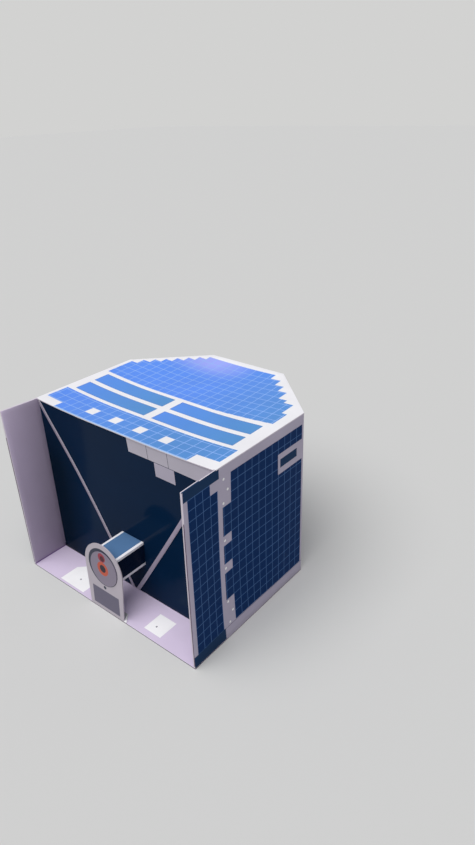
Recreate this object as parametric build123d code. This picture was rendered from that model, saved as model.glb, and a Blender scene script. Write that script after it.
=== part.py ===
"""Comet lander, a card model at about one tenth of the real craft's size.

A hollow box of thin printed card stands on its flat base. Its plan is a rectangle with the two rear
corners cut off. The front is an open balcony: the floor and the two side walls run on past the inner
wall as a ledge and two wings, and each wing has a second layer of card inside. Two flat braces make a V
on the inner wall, and a small camera stands on the ledge: a leaning front plate with a round head, a
disc on its face, a glue tab folded back at its foot, and a square tube that runs back to the wall.
The deck is held at its edges alone and sags between them, and its front edge droops with it.

Frame: millimetres, +Z up. The origin is the middle of the base, on the table. The balcony faces -Y.
The other sheets are flat, all are glued edge to edge, and all pieces are one rigid body.
"""
import os
from math import atan2, copysign, cos, degrees, hypot, radians, sin

from build123d import *

# The body
body_width = 94.0         # across the two side walls
body_depth = 92.0         # from the balcony's front edge to the rear wall
body_height = 73.5        # from the table to the top of the deck
balcony_depth = 16.0      # from the front edge to the inner wall's face
side_length = 66.0        # length of a side wall, wing included
rear_width = 39.0         # width of the rear wall between the two cut corners
card = 0.4                # thickness of the printed card
liner_card = 0.4          # thickness of the second layer inside a wing
deck_lip = 0.4            # how far the deck's front edge stands out over the inner wall

# The deck's sag, the droop of its front edge, and how far in from each edge the sag is full
deck_sag = 1.8
front_droop = 1.0
sag_from_side = 34.0
sag_from_front = 27.0

# The braces on the inner wall
brace_width = 1.9
brace_card = 0.3
brace_foot_x = 1.2        # where a brace's middle line meets the floor
brace_foot_gap = 0.2      # between the feet of the two braces

# The camera on the balcony
camera_shift = 0.8        # it stands a little to the right of the middle
plate_lean = 2.9          # degrees that the plate leans back
plate_foot_width = 18.8
plate_head_radius = 10.5
plate_head_height = 20.5  # from the plate's foot to the middle of its round head
disc_radius = 7.35
disc_card = 0.3
disc_shift = 0.4          # the disc is glued a little to the right of the head's middle
tube_width = 12.1
tube_height = 9.8
tube_bottom = 16.4        # from the table to the tube's underside
tab_depth = 3.0           # the glue tab's depth on the floor
tab_taper = 1.6           # how far each end of the tab slants in

# Lines and levels that follow from the sizes
half_width = body_width / 2
front_y = -body_depth / 2
rear_y = body_depth / 2
inner_wall_y = front_y + balcony_depth
corner_y = front_y + side_length
floor_z = card
deck_z = body_height - card
wall_face_x = half_width - card
wing_face_x = wall_face_x - liner_card


def inset_corner(before, corner, after, distance):
    """A corner of an anticlockwise outline, moved in by a distance from both of its edges."""
    edge_in = (corner - before).normalized()
    edge_out = (after - corner).normalized()
    normal_in = Vector(-edge_in.Y, edge_in.X)
    normal_out = Vector(-edge_out.Y, edge_out.X)
    return corner + (normal_in + normal_out) * (distance / (1 + normal_in.dot(normal_out)))


def flat_sheet(outline, bottom, top):
    """A sheet with an outline in plan, from one level up to another."""
    face = make_face(Polyline(*outline, close=True))
    return extrude(Pos(0, 0, bottom) * face, amount=top - bottom)


def block(x_range, y_range, z_range):
    """A box between two values on each axis."""
    spans = [high - low for low, high in (x_range, y_range, z_range)]
    corner = Pos(x_range[0], y_range[0], z_range[0])
    return corner * Box(*spans, align=(Align.MIN, Align.MIN, Align.MIN))


# The plan's corners, anticlockwise from the front of the right wing, and the same corners inside
# the card. The wings end square.
plan = [
    Vector(half_width, front_y),
    Vector(half_width, corner_y),
    Vector(rear_width / 2, rear_y),
    Vector(-rear_width / 2, rear_y),
    Vector(-half_width, corner_y),
    Vector(-half_width, front_y),
]
inside = (
    [Vector(wall_face_x, front_y)]
    + [inset_corner(*plan[i - 1:i + 2], card) for i in range(1, len(plan) - 1)]
    + [Vector(-wall_face_x, front_y)]
)


def deck_section(y, half_span, depth):
    """The free part of the deck, cut across at a place along y: two slopes with a level stretch between.

    The sheet hangs between two points, each half a span from the middle, down to a depth below them.
    Each slope is an arc that runs out level, and narrows with the span.
    """
    half_level = half_span - sag_from_side * half_span / wall_face_x
    edges = [(-half_span, body_height), (half_span, body_height)]
    level = [(-half_level, body_height - depth), (half_level, body_height - depth)]
    if depth:
        slopes = [
            TangentArc(inner, outer, tangent=(copysign(1, outer[0]), 0)) for inner, outer in zip(level, edges)
        ]
    else:
        slopes = [Line(inner, outer) for inner, outer in zip(level, edges)]
    upper = [*slopes, Line(*level)]
    lower = [Pos(0, -card) * edge for edge in upper]
    ends = [Line(edge, (edge[0], edge[1] - card)) for edge in edges]
    across = Plane(origin=(0, y, 0), x_dir=(1, 0, 0), z_dir=(0, -1, 0))
    return across * make_face(upper + lower + ends)


def make_deck():
    """The roof behind the inner wall: a level rim on the outer walls, and the sheet that sags within it.

    The sheet's front edge rests on the inner wall and stands out over it as a narrow lip, which ends at
    the wings.
    """
    front_corners = [Vector(-half_width, inner_wall_y), Vector(half_width, inner_wall_y)]
    held_corners = [Vector(-wall_face_x, inner_wall_y), Vector(wall_face_x, inner_wall_y)]
    roof = flat_sheet(front_corners + plan[1:-1], deck_z, body_height)
    rim = roof - flat_sheet(held_corners + inside[1:-1], deck_z, body_height)
    corner, rear = inside[1], inside[2]
    lip_y = inner_wall_y - deck_lip
    sections = [
        # place along y, half the span, depth of the sag
        (lip_y, wall_face_x, front_droop),
        (lip_y + sag_from_front / 2, wall_face_x, 0.25 * front_droop + 0.75 * deck_sag),
        (lip_y + sag_from_front, wall_face_x, deck_sag),
        (corner.Y, corner.X, deck_sag),
        ((corner.Y + rear.Y) / 2, (corner.X + rear.X) / 2, 0.85 * deck_sag),
        (0.2 * corner.Y + 0.8 * rear.Y, 0.2 * corner.X + 0.8 * rear.X, 0.6 * deck_sag),
        (rear.Y, rear.X, 0),
    ]
    sheet = loft([deck_section(*row) for row in sections], ruled=True)
    for x_range in ((-wall_face_x, -wing_face_x), (wing_face_x, wall_face_x)):
        sheet -= block(x_range, (lip_y, inner_wall_y), (floor_z, body_height))
    return rim + sheet


def below_deck(solid, deck):
    """What is left of a solid below the deck."""
    return (solid - deck).solids().sort_by(Axis.Z)[0]


def make_wall(number, deck):
    """The outer wall from one corner of the plan to the next, mitred at its folds."""
    section = [plan[number], plan[number + 1], inside[number + 1], inside[number]]
    return flat_sheet(section, floor_z, body_height) - deck


def make_inner_wall(deck):
    """The rear wall of the balcony, whose upper edge follows the deck."""
    x_range, y_range = (-wall_face_x, wall_face_x), (inner_wall_y, inner_wall_y + card)
    return below_deck(block(x_range, y_range, (floor_z, deck_z)), deck)


def make_liner(side):
    """The second layer of card inside a wing."""
    x_range = sorted((side * wing_face_x, side * wall_face_x))
    return block(x_range, (front_y, inner_wall_y), (floor_z, body_height))


def make_brace(side, deck):
    """A flat strip on the inner wall, from the middle of the floor into the top corner."""
    run = wing_face_x - brace_foot_x
    rise = deck_z - floor_z
    middle = Pos((brace_foot_x + wing_face_x) / 2, (floor_z + deck_z) / 2)
    strip = middle * Rot(0, 0, degrees(atan2(rise, run))) * Rectangle(2 * hypot(run, rise), brace_width)
    window_width = wing_face_x - brace_foot_gap / 2
    window = Pos(wing_face_x - window_width / 2, floor_z + rise / 2) * Rectangle(window_width, rise)
    outline = strip & window
    if side < 0:
        outline = mirror(outline, about=Plane.YZ)
    wall_front = Plane(origin=(0, inner_wall_y, 0), x_dir=(1, 0, 0), z_dir=(0, -1, 0))
    return below_deck(extrude(wall_front * outline, amount=brace_card), deck)


# The plate's front face: its foot line lies on the floor's front edge, and its Y axis leans back.
plate_front = Plane(
    origin=(camera_shift, front_y, floor_z),
    x_dir=(1, 0, 0),
    z_dir=(0, -cos(radians(plate_lean)), sin(radians(plate_lean))),
)
plate_back = plate_front.offset(-card)


def behind_plate(solid):
    """What is left of a solid behind the plate."""
    return split(solid, bisect_by=plate_back, keep=Keep.BOTTOM)


def make_camera_plate():
    """The front plate, round at its head, with its glue tab folded back on the floor."""
    half_foot = plate_foot_width / 2
    foot = Line((-half_foot, 0), (half_foot, 0))
    head = Pos(0, plate_head_height) * Circle(plate_head_radius)
    outline = make_hull([foot] + head.edges())
    plate = extrude(plate_front * outline, amount=-card)
    plate = split(plate, bisect_by=Plane.XY.offset(floor_z), keep=Keep.TOP)
    tab_outline = [
        Vector(camera_shift - half_foot, front_y),
        Vector(camera_shift + half_foot, front_y),
        Vector(camera_shift + half_foot - tab_taper, front_y + card + tab_depth),
        Vector(camera_shift - half_foot + tab_taper, front_y + card + tab_depth),
    ]
    return plate + behind_plate(flat_sheet(tab_outline, floor_z, floor_z + card))


def make_camera_disc():
    """The disc on the plate's face."""
    place = plate_front * Pos(disc_shift, plate_head_height)
    return extrude(place * Circle(disc_radius), amount=disc_card)


def make_camera_tube():
    """The square tube from the plate's back to the inner wall, folded from one strip of card."""
    x_range = (camera_shift - tube_width / 2, camera_shift + tube_width / 2)
    y_range = (front_y, inner_wall_y)
    z_range = (tube_bottom, tube_bottom + tube_height)
    hollow = block(
        (x_range[0] + card, x_range[1] - card), y_range, (z_range[0] + card, z_range[1] - card)
    )
    return behind_plate(block(x_range, y_range, z_range) - hollow)


deck = make_deck()
parts = {
    "base_plate": flat_sheet(plan, 0, floor_z),
    "deck": deck,
    "inner_wall": make_inner_wall(deck),
    "right_side_wall": make_wall(0, deck),
    "rear_right_wall": make_wall(1, deck),
    "rear_wall": make_wall(2, deck),
    "rear_left_wall": make_wall(3, deck),
    "left_side_wall": make_wall(4, deck),
    "camera_plate": make_camera_plate(),
    "camera_disc": make_camera_disc(),
    "camera_tube": make_camera_tube(),
}
for name, side in (("right", 1), ("left", -1)):
    parts[name + "_wing_liner"] = make_liner(side)
    parts[name + "_brace"] = make_brace(side, deck)

os.makedirs("parts", exist_ok=True)
for name, part in parts.items():
    export_step(part, f"parts/{name}.step")
    print(name, len(part.solids()), "solid,", round(part.volume, 2), "cubic mm")
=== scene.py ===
# %% [markdown]
# # A card model of a comet lander
#
# The real object is a hollow box of thin printed card. Six sheets matter: a deck, one long strip that is
# scored and folded into all the outer walls, a glossy wall at the back of an open balcony, a floor, and a
# second layer inside each of the two wings. A small camera of card stands on the balcony.
#
# Card has its own look: the print lies on one side only, cut edges show the pale core, folds are round
# and worn, and no sheet stays flat. So each sheet but the flat floor is made here as paper modellers make it.
# It is cut flat, pressed a little out of flat, creased, given its thickness, and stood in its place.

# %% Load the fixed frame
from math import atan2, cos, degrees, pi, radians, sin

import bmesh
import bpy
from mathutils import Matrix, Vector


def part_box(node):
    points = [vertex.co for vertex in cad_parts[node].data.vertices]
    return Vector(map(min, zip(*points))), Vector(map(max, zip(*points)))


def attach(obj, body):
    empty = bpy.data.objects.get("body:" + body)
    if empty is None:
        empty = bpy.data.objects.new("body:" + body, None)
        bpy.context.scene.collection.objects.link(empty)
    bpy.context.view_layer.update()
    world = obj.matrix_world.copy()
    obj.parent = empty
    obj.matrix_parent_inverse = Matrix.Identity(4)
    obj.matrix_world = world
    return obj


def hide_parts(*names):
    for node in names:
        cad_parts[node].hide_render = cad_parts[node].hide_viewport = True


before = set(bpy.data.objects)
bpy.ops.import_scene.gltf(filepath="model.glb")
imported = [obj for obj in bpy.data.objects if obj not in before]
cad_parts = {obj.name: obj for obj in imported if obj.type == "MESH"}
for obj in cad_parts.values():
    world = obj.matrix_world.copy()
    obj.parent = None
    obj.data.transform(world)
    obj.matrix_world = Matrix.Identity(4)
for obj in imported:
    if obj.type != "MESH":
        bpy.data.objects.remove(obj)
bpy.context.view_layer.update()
print("CAD nodes:", ", ".join(sorted(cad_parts)))

# %% [markdown]
# Blender works in metres and a card model in tenths of a millimetre, so one factor turns one into the
# other. The lines and levels of the sheets are read from the fixed frame, so each lies where its solid does.

# %% Read the main lines from the frame, in millimetres
MM = 0.001


def node_box(name):
    """A node's lowest and highest corner in millimetres."""
    low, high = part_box(name)
    return low / MM, high / MM


base_low, base_high = node_box("base_plate")
deck_low, deck_high = node_box("deck")
inner_low, inner_high = node_box("inner_wall")
rear_low, rear_high = node_box("rear_wall")
tube_low, tube_high = node_box("camera_tube")
brace_low, brace_high = node_box("right_brace")

CARD = base_high.z                    # thickness of the card
BRACE_CARD = brace_high.y - brace_low.y
HALF_WIDTH = base_high.x
FRONT = base_low.y
REAR = base_high.y
TOP = deck_high.z
ROOF = TOP - CARD                     # the deck's underside along the walls
DECK_SAG = ROOF - deck_low.z
INNER_WALL = inner_low.y              # the inner wall's printed face
CORNER = node_box("right_side_wall")[1].y
HALF_REAR = rear_high.x
BALCONY = INNER_WALL - FRONT
WING_FACE = HALF_WIDTH - 2 * CARD     # a wing's inner face
print(f"card {CARD:.2f}, body {2 * HALF_WIDTH:.1f} x {REAR - FRONT:.1f} x {TOP:.1f}, sag {DECK_SAG:.1f} mm")

# %% [markdown]
# ## The camera
#
# The photograph looks down on the right front corner from about 40 degrees to the side. A camera was
# fitted to the box's corners, which gives its place, the point it looks at, a slight roll and a fairly
# short lens. It comes first, so that every piece can be judged from the right place while it is made.

# %% Place the camera
CAMERA_PLACE = Vector((161.0, -156.0, 176.6))
CAMERA_TARGET = Vector((18.7, 15.5, 62.9))
CAMERA_ROLL = -1.86                   # degrees
FOCAL_LENGTH = 26.9
FRAME_LENGTH = 36                     # mm, the long side that the focal length is given for
NEAREST = 10.0                        # mm, nothing nearer is drawn

camera_data = bpy.data.cameras.new("camera")
camera_data.lens = FOCAL_LENGTH
camera_data.sensor_width = FRAME_LENGTH
camera_data.clip_start = NEAREST * MM
camera = bpy.data.objects.new("camera", camera_data)
bpy.context.scene.collection.objects.link(camera)
bpy.context.scene.camera = camera
camera.location = CAMERA_PLACE * MM
line_of_sight = CAMERA_TARGET - CAMERA_PLACE
aim = line_of_sight.to_track_quat("-Z", "Y").to_matrix()
camera.rotation_euler = (aim @ Matrix.Rotation(radians(CAMERA_ROLL), 3, "Z")).to_euler()
print("camera looks down by", round(degrees(atan2(-line_of_sight.z, line_of_sight.xy.length))), "degrees")

# %% [markdown]
# ## Tools for working card
#
# A sheet starts flat, seen as it lies on the cutting mat: x runs across, y runs up, and the printed side
# faces up along z. It is one large face at first. Card that bends needs points between its edges, so
# straight cuts divide it: one on each line that matters, and others evenly between those, which leaves no
# slivers beside a fold. Selections are made by place, and each tool ends in object mode.

# %% Helpers to select and to apply
def work_on(piece):
    """Makes this the only selected object."""
    bpy.ops.object.select_all(action="DESELECT")
    piece.select_set(True)
    bpy.context.view_layer.objects.active = piece


def pick(piece, faces=None, edges=None):
    """In edit mode, selects only the faces or the edges that pass a test."""
    mesh = bmesh.from_edit_mesh(piece.data)
    bpy.ops.mesh.select_all(action="DESELECT")
    for element in mesh.faces if faces else mesh.edges:
        if (faces or edges)(element):
            element.select_set(True)
    bmesh.update_edit_mesh(piece.data)


def modify(piece, kind, **settings):
    """Adds a modifier with its settings and applies it."""
    modifier = piece.modifiers.new(kind.lower(), kind)
    for key, value in settings.items():
        setattr(modifier, key, value)
    bpy.ops.object.modifier_apply(modifier=modifier.name)


# %% Cut a sheet
SPACING = 2.0                         # mm, about what lies between two of a sheet's points
ON_THE_CUT = 0.0001                   # mm, a point nearer to a cut than this isn't cut again


def evenly(marks):
    """The marks, with more values between them, evenly and about one spacing apart."""
    values = []
    for low, high in zip(marks, marks[1:]):
        steps = max(1, round((high - low) / SPACING))
        values += [low + (high - low) * i / steps for i in range(steps)]
    return values + [marks[-1]]


def bisect(piece, point, across, cut_off=False):
    """Cuts a piece with a plane, and may drop what lies beyond."""
    bpy.ops.object.mode_set(mode="EDIT")
    bpy.ops.mesh.select_all(action="SELECT")
    bpy.ops.mesh.bisect(
        plane_co=Vector(point).to_3d() * MM, plane_no=Vector(across).to_3d().normalized(),
        clear_outer=cut_off, threshold=ON_THE_CUT * MM,
    )
    bpy.ops.object.mode_set(mode="OBJECT")


def cut_away(piece, faces):
    """Drops the faces that pass a test, up to the lines around them."""
    bpy.ops.object.mode_set(mode="EDIT")
    pick(piece, faces=faces)
    bpy.ops.mesh.delete(type="FACE")
    bpy.ops.object.mode_set(mode="OBJECT")


def cut_sheet(name, x_marks, y_marks):
    """A flat sheet from the first mark to the last each way, divided at each mark and between them."""
    bpy.ops.object.select_all(action="DESELECT")
    bpy.ops.mesh.primitive_plane_add(size=MM, enter_editmode=True)
    size = (x_marks[-1] - x_marks[0], y_marks[-1] - y_marks[0], 1)
    bpy.ops.transform.resize(value=size, center_override=(0, 0, 0))
    middle = ((x_marks[0] + x_marks[-1]) / 2 * MM, (y_marks[0] + y_marks[-1]) / 2 * MM, 0)
    bpy.ops.transform.translate(value=middle)
    bpy.ops.object.mode_set(mode="OBJECT")
    piece = bpy.context.object
    piece.name = piece.data.name = name
    for x in evenly(x_marks)[1:-1]:
        bisect(piece, (x, 0), (1, 0))
    for y in evenly(y_marks)[1:-1]:
        bisect(piece, (0, y), (0, 1))
    return piece


# %% Press, fold and finish a sheet
def press(piece, depth, share, axis="Z"):
    """Moves each point along an axis by a depth in mm times its share. A sheet isn't flat when it is done."""
    group = piece.vertex_groups.new(name="press")
    for point in piece.data.vertices:
        group.add([point.index], share(point.co.x / MM, point.co.y / MM), "REPLACE")
    modify(piece, "DISPLACE", direction=axis, strength=depth * MM, mid_level=0, vertex_group="press")
    piece.vertex_groups.remove(piece.vertex_groups["press"])


def fold(piece, x, angle, first_panel):
    """Folds a panel, and all panels after it, back along an upright line."""
    bpy.ops.object.mode_set(mode="EDIT")
    pick(piece, faces=lambda face: face.material_index >= first_panel)
    bpy.ops.transform.rotate(
        value=-radians(angle), orient_axis="Y", orient_type="GLOBAL", center_override=(x * MM, 0, 0)
    )
    bpy.ops.object.mode_set(mode="OBJECT")


def stand(piece, place=(0, 0, 0), turn=0, upright=True):
    """Stands a flat sheet up, turns it about z, and moves it to its place."""
    work_on(piece)
    piece.rotation_euler = (radians(90 if upright else 0), 0, radians(turn))
    piece.location = Vector(place) * MM
    bpy.ops.object.transform_apply(location=True, rotation=True, scale=True)


EDGE_ROUNDING = 0.05                  # mm, what a knife leaves of an edge
EDGE_ANGLE = radians(65)              # a sharper turn is an edge, a blunter one is a fold or a bend
SMOOTH_ANGLE = radians(35)


def thicken(piece, materials, thickness=CARD):
    """Gives a sheet its thickness behind the print. The last material is the bare card of edge and back."""
    for material in materials:
        piece.data.materials.append(material)
    back = len(materials) - 1
    modify(
        piece, "SOLIDIFY", thickness=thickness * MM, offset=-1, use_even_offset=True,
        material_offset=back, material_offset_rim=back,
    )
    modify(
        piece, "BEVEL", width=EDGE_ROUNDING * MM, segments=2, limit_method="ANGLE",
        angle_limit=EDGE_ANGLE, material=-1,
    )
    bpy.ops.object.shade_smooth_by_angle(angle=SMOOTH_ANGLE)


def hand_over(piece, slot, *replaced):
    """Ties a finished piece to the frame."""
    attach(piece, "root")
    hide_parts(*replaced)
    print(f"{piece.name}: {len(piece.data.polygons)} faces")


# %% How a sheet bends
def held(distance, reach):
    """How free a sheet is at a distance from a held edge: 0 at the edge, 1 out of its reach."""
    near = min(max(distance / reach, 0), 1)
    return 1 - (1 - near) ** 2


# %% [markdown]
# ## Tools for the print
#
# A printed sheet is flat colour laid out in millimetres: rectangles, ruled lines and round dots, each with
# a crisp edge. An image would do that, but a few nodes keep it sharp at any distance. A mask is 1 where
# ink lies, and the inks are laid like print plates, one colour after another.
#
# The pattern reads Object coordinates. Sheets are only pressed across their face, so the layout stays
# as it was on the flat sheet, as real print does on card that sags.

# %% One helper that adds any node
def linear(hex_colour):
    """An sRGB hex colour as the linear values that a shader takes."""
    channels = [int(hex_colour[i:i + 2], 16) / 255 for i in (1, 3, 5)]
    return (*[c / 12.92 if c <= 0.04045 else ((c + 0.055) / 1.055) ** 2.4 for c in channels], 1)


def add(tree, kind, inputs=None, **settings):
    """Adds a node. An input is a value, a socket to link from, or a node, which stands for its result."""
    node = tree.nodes.new("ShaderNode" + kind)
    for key, value in settings.items():
        setattr(node, key, value)
    for socket, value in (inputs or {}).items():
        if isinstance(value, bpy.types.Node):
            value = next(output for output in value.outputs if output.enabled)
        if isinstance(value, bpy.types.NodeSocket):
            tree.links.new(value, node.inputs[socket])
        else:
            node.inputs[socket].default_value = value
    return node


# %% Plates of the print: masks in millimetres
class Layout:
    """Places on one printed sheet, in mm: x across and y up or back, seen on the flat sheet."""

    def __init__(self, tree, turn=0, tilt=0, origin=(0, 0, 0)):
        """The sheet's place in space: turned about z, stood up by a tilt about x, with its own origin."""
        self.tree = tree
        place = add(tree, "TexCoord").outputs["Object"]
        scaled = add(tree, "VectorMath", {0: place, "Scale": 1 / MM}, operation="SCALE")
        level = add(tree, "Mapping", {0: scaled, "Rotation": (0, 0, -radians(turn))})
        shift = [-value for value in origin]
        self.flat = add(
            tree, "Mapping", {0: level, "Location": shift, "Rotation": (-radians(tilt), 0, 0)}
        ).outputs[0]
        self.x, self.y, self.z = add(tree, "SeparateXYZ", {0: self.flat}).outputs

    def strip(self, value, low, high):
        """1 where a value lies between two limits."""
        middle, reach = (low + high) / 2, (high - low) / 2
        return add(self.tree, "Math", {0: value, 1: middle, 2: reach}, operation="COMPARE")

    def any_of(self, masks):
        """1 where any mask is."""
        result, *others = masks
        for mask in others:
            result = add(self.tree, "Math", {0: result, 1: mask}, operation="MAXIMUM")
        return result

    def rectangles(self, table):
        """1 in any rectangle of a table: x from, x to, y from, y to."""
        masks = []
        for x_low, x_high, y_low, y_high in table:
            sides = {0: self.strip(self.x, x_low, x_high), 1: self.strip(self.y, y_low, y_high)}
            masks.append(add(self.tree, "Math", sides, operation="MULTIPLY"))
        return self.any_of(masks)

    def lines(self, value, start, pitch, width):
        """1 on lines that repeat at a pitch."""
        shifted = add(self.tree, "Math", {0: value, 1: start}, operation="SUBTRACT")
        distance = add(self.tree, "Math", {0: shifted, 1: pitch / 2}, operation="PINGPONG")
        return add(self.tree, "Math", {0: distance, 1: width / 2}, operation="LESS_THAN")

    def distance(self, x, y):
        """How far each place is from one point of the layout."""
        offset = add(self.tree, "VectorMath", {0: self.flat, 1: (x, y, 0)}, operation="SUBTRACT")
        level = add(self.tree, "VectorMath", {0: offset, 1: (1, 1, 0)}, operation="MULTIPLY")
        return add(self.tree, "VectorMath", {0: level}, operation="LENGTH")

    def dots(self, radius, places):
        """1 in round dots."""
        masks = []
        for place in places:
            inside = {0: self.distance(*place), 1: radius}
            masks.append(add(self.tree, "Math", inside, operation="LESS_THAN"))
        return self.any_of(masks)

    def below(self, terms, limit):
        """1 on one side of a slanted line: where values times their factors add up to less than a limit."""
        total = 0.0
        for value, factor in terms:
            total = add(self.tree, "Math", {0: value, 1: factor, 2: total}, operation="MULTIPLY_ADD")
        return add(self.tree, "Math", {0: total, 1: limit}, operation="LESS_THAN")

    def fade(self, value, low, high, most=1.0):
        """A soft mask, from 0 at one value to the most at another."""
        return add(self.tree, "MapRange", {0: value, 1: low, 2: high, 3: 0.0, 4: most})

    def ink(self, ground, *plates):
        """Lays inks over a ground. A plate is a colour and its masks, and prints where all of them are."""
        colour = linear(ground)
        for hex_colour, mask, *others in plates:
            for other in others:
                mask = add(self.tree, "Math", {0: mask, 1: other}, operation="MULTIPLY")
            colour = add(self.tree, "Mix", {0: mask, 6: colour, 7: linear(hex_colour)}, data_type="RGBA")
        return colour


# %% [markdown]
# ## Card
#
# The sheets are heavy paper printed on a colour laser or inkjet printer. The paper has a fine tooth that
# breaks up its gloss, and its tone wanders by a percent or two over a few centimetres. Toner or ink gives
# a satin film, so print is glossier than the bare core that a cut edge shows.

# %% The finish that all printed card shares
PAPER_TOOTH = 0.35                    # mm, drawn coarser than real fibres so that it shows
TOOTH_HEIGHT = 0.02                   # mm
TONE_PATCH = 14.0                     # mm
TONE_SPAN = {3: 0.965, 4: 1.03}       # the darkest and the palest patch
NOISE_SPAN = {1: 0.3, 2: 0.7}         # where nearly all values of a noise lie
SHEEN_SWING = 0.05                    # how far the roughness goes up and down with the tooth


def card_surface(name, paint, roughness, tooth=0.05, specular=0.3, **layout):
    """A material whose colour comes from paint(layout), with the tooth and uneven tone of card."""
    material = bpy.data.materials.new(name)
    material.use_nodes = True
    tree = material.node_tree
    tree.nodes.clear()
    sheet = Layout(tree, **layout)
    patches = add(tree, "TexNoise", {"Vector": sheet.flat, "Scale": 1 / TONE_PATCH, "Detail": 3.0})
    tone = add(tree, "MapRange", {0: patches, **NOISE_SPAN, **TONE_SPAN})
    toned = add(tree, "Mix", {0: 1.0, 6: paint(sheet), 7: tone}, data_type="RGBA", blend_type="MULTIPLY")
    fibres = add(tree, "TexNoise", {"Vector": sheet.flat, "Scale": 1 / PAPER_TOOTH, "Detail": 4.0})
    swing = {3: roughness - SHEEN_SWING, 4: roughness + SHEEN_SWING}
    sheen = add(tree, "MapRange", {0: fibres, **NOISE_SPAN, **swing})
    bump = add(tree, "Bump", {"Strength": tooth, "Distance": TOOTH_HEIGHT * MM, "Height": fibres})
    shader = add(tree, "BsdfPrincipled", {
        "Base Color": toned, "Roughness": sheen, "Normal": bump, "IOR": 1.5, "Specular IOR Level": specular,
    })
    add(tree, "OutputMaterial", {0: shader})
    return material


# %% Bare card, for cut edges and backs
BARE = "#DDD5E0"

bare_card = card_surface("bare_card_cut_edge", lambda sheet: linear(BARE), roughness=0.75, tooth=0.5)
print("shared finish ready")

# %% [markdown]
# ## The deck
#
# The roof is one sheet with both rear corners cut off, and it sags: the card is held at its edges and has
# sunk by almost 2 mm between them. Each edge holds the sheet up within its own reach, and the product of
# these shares gives the hollow. The front edge is creased but held by nothing between its ends, so it
# keeps about half of the sag.

# %% Cut, press and stand the deck
GROUND = "#F3F2F7"                    # unprinted ground, a white with a breath of lilac
CELL = "#558FF6"                      # bright blue of the deck's cells
CELL_TEAL_REFLECTION = "#4F8FD8"                 # the same ink, with a painted reflection that turns it teal towards the right
CELL_VIOLET_REFLECTION = "#BBB8FE"               # a painted violet reflection round the far left corner
CELL_LINE = "#93B9F8"
WINDOW = "#5490EE"                    # the four plain fields, and their painted reflection, teal towards the right
WINDOW_TEAL_REFLECTION = "#4B8FD0"
WINDOW_RIM = "#4274B8"
# a painted highlight along the deck's creased front edge
CREASE_HIGHLIGHT = "#A9C9EE"

DECK_LINE = 0.3                       # mm, the width of a ruled line
DECK_COLUMN = 4.346                   # mm from one upright line to the next
WINDOW_RIM_WIDTH = 0.15               # mm

chamfer_out = Vector((REAR - CORNER, HALF_WIDTH - HALF_REAR)).normalized()
DECK_HOLDS = [
    # outward x, outward y, a point on the edge, reach in mm
    (-1, 0, (-HALF_WIDTH, 0), 34),
    (1, 0, (HALF_WIDTH, 0), 35),
    (0, 1, (0, REAR), 9),
    (-chamfer_out.x, chamfer_out.y, (-HALF_WIDTH, CORNER), 28),
    (chamfer_out.x, chamfer_out.y, (HALF_WIDTH, CORNER), 34),
]
FRONT_REACH = 27                      # mm
FRONT_DROOP = 0.55                    # the share of the sag that the front edge keeps


def deck_share(x, y):
    """The deck's share of the full sag at a place."""
    free = held(y - INNER_WALL, FRONT_REACH)
    share = free + FRONT_DROOP * (1 - free)
    for out_x, out_y, point, reach in DECK_HOLDS:
        share *= held((point[0] - x) * out_x + (point[1] - y) * out_y, reach)
    return share


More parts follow.
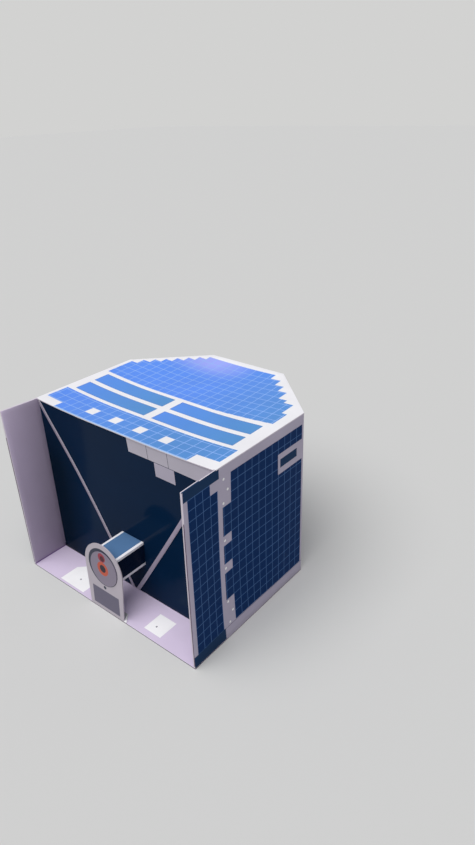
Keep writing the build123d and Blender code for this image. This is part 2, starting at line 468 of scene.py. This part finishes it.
def deck_print(sheet):
    """Cells, four windows, white squares and stepped margins. Depth runs from the balcony's front edge."""
    rear_field = sheet.rectangles([
        # x from, x to, depth from, depth to
        (-44.9, -41.4, 51.3, 65.2),
        (-41.5, -37.6, 51.3, 69.4),
        (-37.7, -34.0, 51.3, 72.8),
        (-34.1, -30.4, 51.3, 76.1),
        (-30.5, -26.7, 51.3, 79.8),
        (-26.8, -23.0, 51.3, 83.3),
        (-23.1, -19.2, 51.3, 86.6),
        (-19.3, 17.4, 51.3, 89.3),
        (17.3, 22.6, 51.5, 85.6),
        (22.5, 27.1, 51.7, 81.3),
        (27.0, 31.5, 51.8, 77.1),
        (31.4, 35.6, 51.9, 71.4),
        (35.5, 40.1, 52.1, 69.1),
        (40.0, 42.6, 52.3, 61.4),
    ])
    front_field = sheet.rectangles([(-45.5, 44.6, 15.5, 30.1)])
    bare_notches = sheet.rectangles([(-48, -35.9, 15, 20.0), (34.7, 48, 15, 20.7)])
    bare_squares = sheet.rectangles([
        (-22.9, -18.4, 20.4, 24.7),
        (-9.8, -5.4, 20.4, 24.7),
        (3.3, 7.7, 20.4, 24.7),
        (16.4, 20.9, 20.4, 24.7),
    ])
    uprights = sheet.lines(sheet.x, 2.7, DECK_COLUMN, DECK_LINE)
    rows = sheet.lines(sheet.y, 55.0, 4.287, DECK_LINE)
    front_uprights = sheet.lines(sheet.x, -0.95, DECK_COLUMN, DECK_LINE)
    front_rows = sheet.lines(sheet.y, 20.45, 4.25, DECK_LINE)
    left_windows, right_windows = [
        [(*span, 32.1, 39.2), (*span, 41.9, 49.1)] for span in ((-42.5, -2.8), (1.4, 40.5))
    ]
    rim = WINDOW_RIM_WIDTH
    rims = [(a - rim, b + rim, c - rim, d + rim) for a, b, c, d in left_windows + right_windows]
    return sheet.ink(
        GROUND,
        (CELL, sheet.any_of([rear_field, front_field])),
        # Painted reflection: the cells turn teal towards the right.
        (CELL_TEAL_REFLECTION, rear_field, sheet.fade(sheet.x, 0, 42)),
        (CELL_TEAL_REFLECTION, front_field, sheet.fade(sheet.x, -35, 20)),
        # Painted reflection: the rear cells turn violet towards the far left corner.
        (
            CELL_VIOLET_REFLECTION, rear_field, sheet.fade(sheet.y, 71, 81),
            sheet.fade(sheet.distance(-16, 92), 26, 8, most=0.6),
        ),
        (CELL_LINE, rear_field, sheet.any_of([uprights, rows])),
        (CELL_LINE, front_field, sheet.any_of([front_uprights, front_rows])),
        # Painted highlight along the creased front edge.
        (CREASE_HIGHLIGHT, front_field, sheet.strip(sheet.y, 15.0, 16.1)),
        (GROUND, sheet.any_of([bare_notches, bare_squares])),
        (WINDOW_RIM, sheet.rectangles(rims)),
        (WINDOW, sheet.rectangles(left_windows + right_windows)),
        # Painted reflection: the windows turn teal towards the right.
        (WINDOW_TEAL_REFLECTION, sheet.rectangles(left_windows), sheet.fade(sheet.x, -42, -3)),
        (WINDOW_TEAL_REFLECTION, sheet.rectangles(right_windows), sheet.fade(sheet.x, 1, 40)),
    )


deck_material = card_surface("deck_print_on_card", deck_print, roughness=0.38, origin=(0, FRONT, 0))
deck = cut_sheet(
    "deck_sheet", (-HALF_WIDTH, -WING_FACE, WING_FACE, HALF_WIDTH), (deck_low.y, INNER_WALL, CORNER, REAR)
)
for side in (-1, 1):
    bisect(deck, (side * HALF_WIDTH, CORNER), (side * chamfer_out.x, chamfer_out.y), cut_off=True)
cut_away(deck, lambda face: (
    face.calc_center_median().y < INNER_WALL * MM and abs(face.calc_center_median().x) > WING_FACE * MM
))
press(deck, -DECK_SAG, deck_share)
thicken(deck, [deck_material, bare_card])
stand(deck, place=(0, 0, TOP), upright=False)
hand_over(deck, "deck_print", "deck")

# %% [markdown]
# ## The outer walls
#
# All five outer walls are one strip of card, scored at four folds and bent round the floor. Each score
# gives the strip a row of points, and the panels behind it turn about that row. Folding starts at the far
# end, so that every fold line is still where it was drawn. A small bevel then makes each fold round.
#
# The strip's front ends run on as the wings. Behind them the side walls are slightly hollow. The left
# wing has no roof to hold it and leans outwards, most at its top.

# %% Lay out the strip
plan = [
    Vector((HALF_WIDTH, FRONT)), Vector((HALF_WIDTH, CORNER)), Vector((HALF_REAR, REAR)),
    Vector((-HALF_REAR, REAR)), Vector((-HALF_WIDTH, CORNER)), Vector((-HALF_WIDTH, FRONT)),
]
panel_widths = [(b - a).length for a, b in zip(plan, plan[1:])]
panel_turns = [degrees(atan2(b.y - a.y, b.x - a.x)) % 360 for a, b in zip(plan, plan[1:])]
panel_starts = [sum(panel_widths[:i]) for i in range(len(panel_widths) + 1)]
STRIP_LENGTH = panel_starts[-1]
print(f"the strip is {STRIP_LENGTH:.1f} mm long, its panels face {[round(t) for t in panel_turns]} degrees")

# %% The print of the two side walls
# The walls' lilac, cells and lines are the deck's and the floor's print in darker copies, as painted shade.
SHADED_WALL_LILAC = "#BDB6CA"
NAVY_BAND = "#1E3A5E"
SHADED_WALL_CELL = "#0A2F61"
SHADED_WALL_LINE = "#4A6DA0"
WALL_SEAM = "#6A6480"
WALL_DOT = "#FAF9FB"

PRINT_GLOSS = 0.02                    # toner soaks in, so dark print hardly shines
ROWS_FROM = 5.4                       # mm over the table, the lowest line of the cells
ROW_PITCH = 4.0
RULE_WIDTH = 0.26                     # mm, the width of a ruled line
SEAM_ROW = (5.05, 5.25)               # mm over the table, a thin line under the cells
REAR_MARGIN = 1.0                     # mm, beside the cells of a rear panel
REAR_COLUMN = 3.8                     # mm, about the width of a rear panel's cells
REAR_ROWS_TO = 69.4


def side_print(sheet):
    """Cells on the wing and on the wall, with a lilac strip of tabs and dots between them."""
    bands = sheet.rectangles([
        # depth from, depth to, height from, height to
        (0.2, 17.3, 69.5, 74.0),
        (-0.5, 17.2, 0, 5.4),
    ])
    wing = sheet.rectangles([(2.0, 12.8, 5.4, 69.6), (12.7, 16.5, 5.4, 65.4)])
    wall = sheet.rectangles([
        (23.2, 64.8, 5.4, 69.2),
        (18.8, 23.3, 45.4, 57.4),
        (18.8, 23.3, 33.4, 41.4),
        (18.8, 23.3, 17.4, 29.4),
    ])
    rows = sheet.lines(sheet.y, ROWS_FROM, ROW_PITCH, RULE_WIDTH)
    return sheet.ink(
        SHADED_WALL_LILAC,
        (NAVY_BAND, bands),
        (SHADED_WALL_CELL, sheet.any_of([wing, wall])),
        (SHADED_WALL_LINE, wing, sheet.any_of([rows, sheet.lines(sheet.x, 2.0, 3.6, RULE_WIDTH)])),
        (SHADED_WALL_LINE, wall, sheet.any_of([rows, sheet.lines(sheet.x, 23.2, 3.8, RULE_WIDTH)])),
        (WALL_SEAM, sheet.rectangles([(17.2, 66, *SEAM_ROW)])),
        (SHADED_WALL_LILAC, sheet.rectangles([(49.5, 66, 54.8, 63.2)])),
        (NAVY_BAND, sheet.rectangles([(50.9, 61.4, 57.3, 60.8)])),
        (WALL_DOT, sheet.dots(0.52, [
            (19.6, 68.2), (21.6, 63.4), (19.3, 58.9), (19.6, 43.4),
            (19.5, 31.5), (19.7, 16.2), (22.0, 10.9), (20.0, 6.5),
        ])),
    )


def rear_print(width):
    """The print of a rear panel: one field of cells with lilac margins."""
    def paint(sheet):
        field = width - 2 * REAR_MARGIN
        pitch = field / round(field / REAR_COLUMN)
        cells = sheet.rectangles([(REAR_MARGIN, width - REAR_MARGIN, ROWS_FROM, REAR_ROWS_TO)])
        ruled = sheet.any_of([
            sheet.lines(sheet.x, REAR_MARGIN, pitch, RULE_WIDTH),
            sheet.lines(sheet.y, ROWS_FROM, ROW_PITCH, RULE_WIDTH),
        ])
        seam = sheet.rectangles([(0, width, *SEAM_ROW)])
        return sheet.ink(SHADED_WALL_LILAC, (SHADED_WALL_CELL, cells), (SHADED_WALL_LINE, cells, ruled), (WALL_SEAM, seam))
    return paint


# %% A material for each panel of the strip
side_place = {"turn": 90, "tilt": 90, "origin": (FRONT, 0, 0)}
side_material = card_surface(
    "side_wall_print_on_card", side_print, roughness=0.36, specular=PRINT_GLOSS, **side_place
)
panel_materials = [side_material]
for number in (1, 2, 3):
    start = Matrix.Rotation(-radians(panel_turns[number]), 2) @ plan[number]
    panel_materials.append(card_surface(
        f"rear_panel_{number}_print_on_card", rear_print(panel_widths[number]), roughness=0.36,
        specular=PRINT_GLOSS, turn=panel_turns[number], tilt=90, origin=(start.x, 0, 0),
    ))
panel_materials.append(side_material)
print(len(panel_materials), "panels have their print")

# %% [markdown]
# The strip's cut edge isn't the same all round. The front half of the right wing's upper edge is navy, and
# the front edges are painted dark up to a little below their top, as painted shade.

# %% The strip's cut edge
SHADED_FRONT_EDGE = "#6B5A70"

strip_edge = card_surface(
    "wall_strip_cut_edge",
    lambda sheet: sheet.ink(
        BARE,
        # Painted shade down the wings' front cut edges.
        (SHADED_FRONT_EDGE, sheet.rectangles([(-1.0, 0.2, 1.2, 62)])),
        (NAVY_BAND, sheet.rectangles([(-1.0, 8.0, 73.2, 75)]), sheet.strip(sheet.z, 40, 50)),
    ),
    roughness=0.75, tooth=0.5, **side_place,
)

# %% Cut, press and fold the strip
WALL_HOLLOW = {1: 0.9, -1: 0.2}       # mm inwards, the right and the left side wall
WING_LEAN = {1: 0.4, -1: 1.2}         # mm outwards at the top of each wing's free edge
REAR_BULGE = 0.35                     # mm outwards in the middle of a rear panel
FOLD_ROUNDING = 0.45                  # mm
HOLLOW_LENGTH = 52                    # mm of a side wall's length that is hollow, from the wing's free edge
HOLLOW_NARROWING = 1.5                # over 1, the hollow is narrower than an arch
HOLLOW_LOWERING = 0.8                 # under 1, its deepest place is below half height
LEAN_CURVE = 1.3                      # over 1, a wing's lean grows faster towards its free edge
WELD = 0.01                           # mm, two points nearer than this become one


def hollow_share(depth, height):
    """A side wall's hollow, deepest two fifths of the way back and below half height."""
    along = sin(pi * min(max(depth / HOLLOW_LENGTH, 0), 1)) ** HOLLOW_NARROWING
    return along * sin(pi * min(max(height / TOP, 0), 1) ** HOLLOW_LOWERING)


def lean_share(depth, height):
    """A wing's lean: none where the deck and the inner wall hold it, most at the top of its free edge."""
    return max(0, 1 - depth / BALCONY) ** LEAN_CURVE * min(max(height / TOP, 0), 1)


def rear_share(along, height):
    """The share of the bulge on the three rear panels."""
    for start, width in zip(panel_starts[1:4], panel_widths[1:4]):
        if start < along < start + width:
            return sin(pi * (along - start) / width) * sin(pi * height / TOP)
    return 0


def panel_at(along):
    """The number of the panel at a place along the strip."""
    return sum(along > start * MM for start in panel_starts[1:-1])


strip = cut_sheet(
    "outer_wall_strip",
    (0, BALCONY, *panel_starts[1:-1], STRIP_LENGTH - BALCONY, STRIP_LENGTH), (CARD, ROOF, TOP),
)
cut_away(strip, lambda face: (
    face.calc_center_median().y > ROOF * MM
    and BALCONY * MM < face.calc_center_median().x < (STRIP_LENGTH - BALCONY) * MM
))
for face in strip.data.polygons:
    face.material_index = panel_at(face.center.x)
press(strip, REAR_BULGE, rear_share)
for side in (1, -1):
    def depth_at(along, side=side):
        """The distance from a wing's free edge, counted from the strip's own end."""
        return along if side > 0 else STRIP_LENGTH - along

    press(strip, -WALL_HOLLOW[side], lambda along, height: hollow_share(depth_at(along), height))
    press(strip, WING_LEAN[side], lambda along, height: lean_share(depth_at(along), height))


def fold_all(piece, starts, angles, rounding=FOLD_ROUNDING):
    """Folds a strip at all its lines, the far end first, and rounds the folds."""
    for panel in range(len(angles), 0, -1):
        fold(piece, starts[panel], angles[panel - 1], panel)
    bpy.ops.object.mode_set(mode="EDIT")
    bpy.ops.mesh.select_all(action="SELECT")
    bpy.ops.mesh.remove_doubles(threshold=WELD * MM)
    pick(piece, edges=lambda edge: len({face.material_index for face in edge.link_faces}) > 1)
    bpy.ops.mesh.bevel(offset=rounding * MM, segments=3, affect="EDGES")
    bpy.ops.object.mode_set(mode="OBJECT")


fold_all(strip, panel_starts, [b - a for a, b in zip(panel_turns, panel_turns[1:])])
thicken(strip, [*panel_materials, strip_edge])
stand(strip, place=(HALF_WIDTH, FRONT, 0), turn=panel_turns[0])
hand_over(
    strip, "wall_print",
    "right_side_wall", "rear_right_wall", "rear_wall", "rear_left_wall", "left_side_wall",
)
print("the strip closes at", [round(v / MM, 1) for v in (*strip.bound_box[0], *strip.bound_box[6])])

# %% [markdown]
# ## The inner wall and its braces
#
# The wall behind the balcony is printed solid navy with a glossy film. It stands between the walls, and
# bows back where nothing holds it. Its ends follow the side walls' hollow, and its upper edge follows the
# deck's. Two flat strips of card make a V on it and bend with it.

# %% The glossy wall and its pale panels
INNER_CORNER_SHADE = "#05192C"
INNER_NAVY = "#092340"
PANEL_GREY = "#C4BFCB"
LOW_PANEL_GREY = "#BBB5C5"
PANEL_LINE = "#3A4356"
CORNER_LINE = "#8C8AA0"
INNER_BOW = 1.2                       # mm
EDGE_REACH = 8.0                      # mm, how far down the upper edge's droop is felt
SIDE_REACH = 30                       # mm, how far each edge of the wall holds it back from its bow
ROOF_REACH = 30
FLOOR_REACH = 55
END_CURVE = 4                         # how fast the side walls' hollow fades towards the wall's middle


def inner_share(across, height):
    """The inner wall's share of its bow: held by both side walls, the deck and the floor."""
    from_side = held(HALF_WIDTH - abs(across), SIDE_REACH)
    return from_side * held(ROOF - height, ROOF_REACH) * held(height, FLOOR_REACH)


def inner_print(sheet):
    """Navy, painted darker on the left as shade, with four pale panels and a glue tab's pale edge in the left
    corner.
    """
    return sheet.ink(
        INNER_NAVY,
        # Painted shade: the navy is deeper on the left, below the top.
        (INNER_CORNER_SHADE, sheet.fade(sheet.x, -26, -40), sheet.fade(sheet.y, 70, 45)),
        # across from, across to, height from, height to
        (PANEL_GREY, sheet.rectangles([(5.0, 46.6, 66.0, 73.5)])),
        (LOW_PANEL_GREY, sheet.rectangles([(17.8, 27.5, 60.0, 65.8)])),
        (PANEL_LINE, sheet.rectangles([(14.9, 15.1, 66.0, 73.5), (24.9, 25.1, 66.0, 73.5)])),
        (CORNER_LINE, sheet.rectangles([(-46.6, -45.95, 2, 71)])),
    )


def bend_with_wall(piece):
    """Bends a flat sheet as the inner wall is bent: back, in at its ends, and down under the deck."""
    press(piece, -INNER_BOW, inner_share)
    for side, hollow in WALL_HOLLOW.items():
        press(
            piece, -side * hollow,
            lambda across, height, side=side: (
                hollow_share(BALCONY, height) * min(max(side * across / HALF_WIDTH, 0), 1) ** END_CURVE
            ),
            axis="X",
        )
    press(
        piece, -DECK_SAG,
        lambda across, height: deck_share(across, INNER_WALL) * max(0, 1 - (ROOF - height) / EDGE_REACH),
        axis="Y",
    )


inner_material = card_surface(
    "glossy_navy_print_on_card", inner_print, roughness=0.1, tooth=0.02, specular=0.03, tilt=90
)
inner_wall = cut_sheet("inner_wall_sheet", (inner_low.x, inner_high.x), (inner_low.z, inner_high.z))
bend_with_wall(inner_wall)
thicken(inner_wall, [inner_material, bare_card])
stand(inner_wall, place=(0, INNER_WALL, 0))
hand_over(inner_wall, "glossy_navy_print", "inner_wall")

# %% The two braces
# Painted light: each brace turns paler towards its foot.
BRACE_FOOT_LIGHT = "#C6BDD0"
BRACE_FOOT = 1.2                      # from the middle to where a brace's middle line meets the floor
BRACES = [
    # name, side, width in mm, colour
    ("right", 1, 1.65, "#A79CB0"),
    ("left", -1, 1.35, "#9B91A3"),
]

run, rise = WING_FACE - BRACE_FOOT, ROOF - CARD
for name, side, width, colour in BRACES:
    length = 2 * Vector((run, rise)).length
    brace = cut_sheet(f"{name}_brace_strip", (-length / 2, length / 2), (-width / 2, width / 2))
    middle = Vector((side * (BRACE_FOOT + run / 2), CARD + rise / 2, 0))
    brace.rotation_euler.z = atan2(rise, side * run)
    brace.location = middle * MM
    bpy.ops.object.transform_apply(location=True, rotation=True, scale=True)
    bisect(brace, (side * WING_FACE, 0), (side, 0), cut_off=True)
    bisect(brace, (side * brace_low.x, 0), (-side, 0), cut_off=True)
    bisect(brace, (0, ROOF), (0, 1), cut_off=True)
    bisect(brace, (0, CARD), (0, -1), cut_off=True)
    bend_with_wall(brace)
    brace_material = card_surface(
        f"lilac_grey_strip_of_card_{name}", roughness=0.5, tilt=90,
        # Painted light towards the foot.
        paint=lambda sheet: sheet.ink(colour, (BRACE_FOOT_LIGHT, sheet.fade(sheet.y, 16, 6))),
    )
    thicken(brace, [brace_material, bare_card], thickness=BRACE_CARD)
    stand(brace, place=(0, INNER_WALL - BRACE_CARD, 0))
    hand_over(brace, "brace_card", f"{name}_brace")

# %% [markdown]
# ## The wings' second layer
#
# Each wing is two layers of card glued back to back. The inner one is printed lilac. It follows the outer
# one's bend, and gapes by a hair at the free edge, which draws the thin dark line that a real seam shows.
# The right one's upper edge was cut in two goes, and its rear half lies a little lower.

# %% Cut and press the two liners
# The liners' lilac is a paler copy of the floor's, as painted light; the darker plates below it are painted
# shade.
LINER_LILAC = "#E6D6F3"
LINER_SHADE = "#7A7083"
LINER_FOOT_SHADE = "#80609A"
FOOT_SHADE_HEIGHT = 0.6                       # mm over the floor, the height of the purple line of painted shade
SEAM_GAP = 0.2                        # mm
SEAM_CURVE = 3                        # over 1, the seam closes fast behind the free edge
STEP_DEPTH = 8.0                      # mm from the free edge, where the upper edge steps down
STEP_WIDTH = 0.3
STEP_DROP = 0.5


def liner_print(sheet):
    """Lilac, paler than the floor's as painted light, darker towards the fold and the foot as painted shade,
    and a purple line of painted shade where it meets the floor.
    """
    return sheet.ink(
        LINER_LILAC,
        (LINER_SHADE, sheet.fade(sheet.y, 70, 5, most=0.55)),
        (LINER_SHADE, sheet.fade(sheet.x, 0, BALCONY, most=0.55)),
        (LINER_FOOT_SHADE, sheet.strip(sheet.y, 0, CARD + FOOT_SHADE_HEIGHT)),
    )


lilac_material = card_surface(
    "lilac_print_on_card", liner_print, roughness=0.42, turn=90, tilt=90, origin=(FRONT, 0, 0)
)
for name, side in (("right", 1), ("left", -1)):
    def depth_of(along, side=side):
        """The liner's printed side faces in, so the right one runs from the wall to its free edge."""
        return BALCONY - along if side > 0 else along

    step_marks = [depth_of(STEP_DEPTH), depth_of(STEP_DEPTH + STEP_WIDTH)]
    top = TOP - EDGE_ROUNDING
    liner = cut_sheet(f"{name}_wing_liner_sheet", sorted([0, BALCONY, *step_marks]), (CARD, top))
    press(liner, WALL_HOLLOW[side], lambda along, height: hollow_share(depth_of(along), height))
    press(liner, -WING_LEAN[side], lambda along, height: lean_share(depth_of(along), height))
    press(
        liner, SEAM_GAP,
        lambda along, height: max(0, 1 - depth_of(along) / BALCONY) ** SEAM_CURVE * sin(pi * height / TOP),
    )
    if side > 0:
        behind_step = STEP_DEPTH + STEP_WIDTH / 2
        press(
            liner, -STEP_DROP,
            lambda along, height: float(height > TOP - SPACING / 2 and depth_of(along) > behind_step),
            axis="Y",
        )
    thicken(liner, [lilac_material, bare_card])
    if side > 0:
        stand(liner, place=(WING_FACE, INNER_WALL, 0), turn=-90)
    else:
        stand(liner, place=(-WING_FACE, FRONT, 0), turn=90)
    hand_over(liner, "lilac_card", f"{name}_wing_liner")

# %% [markdown]
# ## The floor sheet
#
# The base lies flat, so its CAD solid is already right and only gets a finish: lilac print on top, bare
# card on the underside, and edges painted dark as contact shadow. Two patches on the balcony are left white,
# as places to glue something on, each with a printed dot in its middle.

# %% Print the base
INSIDE_LILAC = "#DBCDE6"
PATCH = "#FBFAFC"
PATCH_DOT = "#7C7A84"
# painted contact shadow on the base's cut edges
SHADOWED_EDGE = "#453C4A"
PRINT_DEPTH = 0.05                    # mm below and above the upper side, where its print is seen
UNDERSIDE = 0.02                      # mm, where the bare underside ends and the edge starts


def base_print(sheet):
    """Lilac with two bare patches, on the upper side alone, and cut edges painted dark as shadow."""
    upper_side = sheet.strip(sheet.z, CARD - PRINT_DEPTH, CARD + PRINT_DEPTH)
    edge = sheet.strip(sheet.z, UNDERSIDE, CARD - PRINT_DEPTH)
    return sheet.ink(
        BARE,
        # Painted shadow on the cut edges.
        (SHADOWED_EDGE, edge),
        (INSIDE_LILAC, upper_side),
        (PATCH, upper_side, sheet.rectangles([(18.5, 27.0, 2.6, 11.4)])),
        (
            PATCH, upper_side, sheet.rectangles([(-30.0, -15.5, 1.0, 13.2)]),
            sheet.below([(sheet.x, 1), (sheet.y, 0.9)], -7.1),
            sheet.below([(sheet.x, -0.9), (sheet.y, 1)], 36.6),
        ),
        (PATCH_DOT, upper_side, sheet.dots(0.38, [(22.0, 5.8), (-22.5, 5.5)])),
    )


def dress(node, material):
    """Gives a CAD node that stays as it is its finish."""
    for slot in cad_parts[node].material_slots:
        slot.material = material
    print(node, "keeps its shape, in", material.name)


dress("base_plate", card_surface("base_print_on_card", base_print, roughness=0.42, origin=(0, FRONT, 0)))

# %% [markdown]
# ## The camera
#
# The plate, its glue tab and the disc on its face are flat, and their CAD solids stay. Their print is laid
# out in the plate's own plane, which leans back by a few degrees, so the layout is tilted with it. The
# tube is one more folded strip: four panels, closed at a glued corner.

# %% The plate and the disc
PLATE_LEAN = radians(2.9)
PLATE_GREY = "#BEB6C0"
PLATE_PANEL = "#6A667A"
TAB_SHADE = "#A8A9AC"
DISC_GREY = "#8A8193"
DARK_RIM = "#343A4C"
LENS_DARK = "#1F1C2A"
LENS_MAROON = "#481222"
RING_ORANGE = "#C4563E"
RING_RED = "#9C3042"
TAB_DEPTH = 3.4                       # mm, from the CAD: how far back the glue tab reaches

foot = Vector((0, FRONT, CARD))       # the plate's foot line
plate_up = Vector((0, sin(PLATE_LEAN), cos(PLATE_LEAN)))
plate_out = Vector((0, -cos(PLATE_LEAN), sin(PLATE_LEAN)))
plate_layout = {
    "tilt": 90 - degrees(PLATE_LEAN), "origin": (0, foot.dot(plate_up), foot.dot(plate_out)),
}


def plate_print(sheet):
    """A dark rim round the disc, a small dark dot under it, a grey panel, and the tab painted grey as shade.
    """
    tab = sheet.strip(sheet.z, -TAB_DEPTH - CARD, -2 * CARD)
    return sheet.ink(
        PLATE_GREY,
        (DARK_RIM, sheet.dots(8.2, [(0.6, 20.75)])),
        (DARK_RIM, sheet.dots(0.75, [(0.7, 11.4)])),
        (PLATE_PANEL, sheet.rectangles([(-6.7, 8.3, 1.4, 9.8)])),
        (TAB_SHADE, tab),
    )


def disc_print(sheet):
    """Two ringed lenses."""
    return sheet.ink(
        DISC_GREY,
        (RING_RED, sheet.dots(2.0, [(0.7, 25.5)])),
        (LENS_MAROON, sheet.dots(1.2, [(0.95, 25.15)])),
        (RING_ORANGE, sheet.dots(3.05, [(0.9, 20.55)])),
        (LENS_DARK, sheet.dots(1.65, [(0.9, 20.6)])),
    )


dress("camera_plate", card_surface("grey_print_on_card", plate_print, roughness=0.5, **plate_layout))
dress("camera_disc", card_surface("disc_print_on_card", disc_print, roughness=0.42, **plate_layout))

# %% [markdown]
# The glue tab was cut a little too wide: its white end stands out past the plate's right edge, and
# narrows to the tab's rear corner. It is modelled as a strip of card against the solid tab's end, and it
# has no print, so it is brighter than all round it.

# %% Cut the tab's end
TAB_CORNER = 10.2                     # mm, from the CAD: the right end of the plate's foot
TAB_TAPER = 1.6                       # mm, from the CAD: how far the tab's end slants in
TAB_END = 1.4                         # mm, how far the white end stands out at the front
TAB_NARROWING = 1.1                   # mm, how much narrower it is at the back

tab_marks = (TAB_CORNER - TAB_TAPER, TAB_CORNER + TAB_END)
tab_end = cut_sheet("camera_tab_end", tab_marks, (FRONT, FRONT + TAB_DEPTH))
bisect(tab_end, (TAB_CORNER + TAB_END, FRONT), (TAB_DEPTH, TAB_TAPER + TAB_NARROWING), cut_off=True)
bisect(tab_end, (TAB_CORNER, FRONT), (-TAB_DEPTH, -TAB_TAPER), cut_off=True)
white_card = card_surface("white_unprinted_card", lambda sheet: linear(PATCH), roughness=0.5)
thicken(tab_end, [white_card])
stand(tab_end, place=(0, 0, 2 * CARD), upright=False)
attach(tab_end, "root")
print("the tab's end stands out by", TAB_END, "mm")

# %% Fold the tube
TUBE_BLUE = "#5478A2"
TUBE_NAVY = "#0C1930"
TUBE_MARGIN = 1.1                     # mm, white along each fold
TUBE_FLAP = 1.3                       # mm, white at the lower fold, where a glue flap shows
TUBE_DROP = 1.0                       # mm, how far the folded strip hangs below the plain solid
TUBE_ROUNDING = 0.2                   # mm
TUBE_REACH = 0.8                      # mm, how far the tube follows the wall's bow

tube_bottom = tube_low.z - TUBE_DROP
tube_width, tube_height = tube_high.x - tube_low.x, tube_high.z - tube_bottom


def tube_print(colour, low, high, upright):
    """A panel of the tube: one colour between two limits, with white margins outside."""
    def paint(sheet):
        value = sheet.z if upright else sheet.x
        return sheet.ink(GROUND, (colour, sheet.strip(value, low, high)))
    return paint


top_material = card_surface(
    "tube_top_print_on_card", roughness=0.4,
    paint=tube_print(TUBE_BLUE, tube_low.x + TUBE_MARGIN, tube_high.x - TUBE_MARGIN, False),
)
side_of_tube = card_surface(
    "tube_side_print_on_card", roughness=0.3, specular=0.1,
    paint=tube_print(TUBE_NAVY, tube_bottom + TUBE_FLAP, tube_high.z - TUBE_MARGIN, True),
)
tube_folds = [
    tube_low.x, tube_high.x, tube_high.x + tube_height, tube_high.x + tube_height + tube_width,
]
tube = cut_sheet(
    "camera_tube_strip", (*tube_folds, tube_folds[-1] + tube_height), (tube_low.y, tube_high.y + TUBE_REACH)
)
for face in tube.data.polygons:
    face.material_index = sum(face.center.x > line * MM for line in tube_folds[1:])
fold_all(tube, tube_folds, [90, 90, 90], TUBE_ROUNDING)
work_on(tube)
tube.location.z = tube_high.z * MM
bpy.ops.object.transform_apply(location=True, rotation=True, scale=True)
bisect(tube, foot - CARD * plate_out, plate_out, cut_off=True)
thicken(tube, [top_material, side_of_tube, top_material, side_of_tube, bare_card])
hand_over(tube, "tube_print", "camera_tube")
print("the tube closes at", [round(v / MM, 1) for v in (*tube.bound_box[0], *tube.bound_box[6])])

# %% [markdown]
# ## The studio
#
# The photograph has one soft light high over the front of the model: the deck is bright, the walls are in
# half shade. A broad sun does that and lights the floor evenly up to the horizon. A weak world fills the
# shade. The background that the camera and the glossy print see is as bright as the far floor, so no
# horizon shows.

# %% Floor, lights and world
FLOOR = "#D3D3D2"
FLOOR_SIZE = 8                        # m
FLOOR_GAP = 0.02                      # mm between the floor and the model
SKY = "#F4F5F9"
SUN_FROM = Vector((0.0, -0.36, 0.92))
SUN_DISTANCE = 500                    # mm, for show alone, as a sun shines from any distance
SUN_WIDTH = radians(60)               # as wide as a large softbox close by
SUN_LEVEL = 0.79                      # what the sun adds to a level sheet, where 1 shows a colour as written
FILL_LEVEL = 0.20


def studio_surface(name, colour):
    """A matt surface of one colour, for what isn't part of the object."""
    material = bpy.data.materials.new(name)
    material.use_nodes = True
    shader = material.node_tree.nodes["Principled BSDF"]
    shader.inputs["Base Color"].default_value = linear(colour)
    shader.inputs["Roughness"].default_value = 1.0
    shader.inputs["Specular IOR Level"].default_value = 0.0
    return material


bpy.ops.object.select_all(action="DESELECT")
bpy.ops.mesh.primitive_plane_add(size=FLOOR_SIZE, location=(0, 0, -FLOOR_GAP * MM))
floor = bpy.context.object
floor.name = "studio_floor"
floor.data.materials.append(studio_surface("studio_floor", FLOOR))

sun_data = bpy.data.lights.new("broad_sun", "SUN")
sun_data.energy = SUN_LEVEL * pi / SUN_FROM.normalized().z
sun_data.angle = SUN_WIDTH
sun = bpy.data.objects.new("broad_sun", sun_data)
bpy.context.scene.collection.objects.link(sun)
sun.location = (SUN_DISTANCE * SUN_FROM + Vector((0, 0, TOP / 2))) * MM
sun.rotation_euler = (-SUN_FROM).to_track_quat("-Z", "Y").to_euler()

world = bpy.data.worlds.new("pale_world")
bpy.context.scene.world = world
world.use_nodes = True
tree = world.node_tree
tree.nodes.clear()
fill = add(tree, "Background", {"Color": linear(SKY), "Strength": FILL_LEVEL})
backdrop = add(tree, "Background", {"Color": linear(FLOOR), "Strength": SUN_LEVEL + FILL_LEVEL})
rays = add(tree, "LightPath").outputs
seen = add(tree, "Math", {0: rays["Is Camera Ray"], 1: rays["Is Glossy Ray"]}, operation="MAXIMUM")
add(tree, "OutputWorld", {0: add(tree, "MixShader", {0: seen, 1: fill, 2: backdrop})})
bpy.context.scene.view_settings.view_transform = "Standard"
print("studio ready")
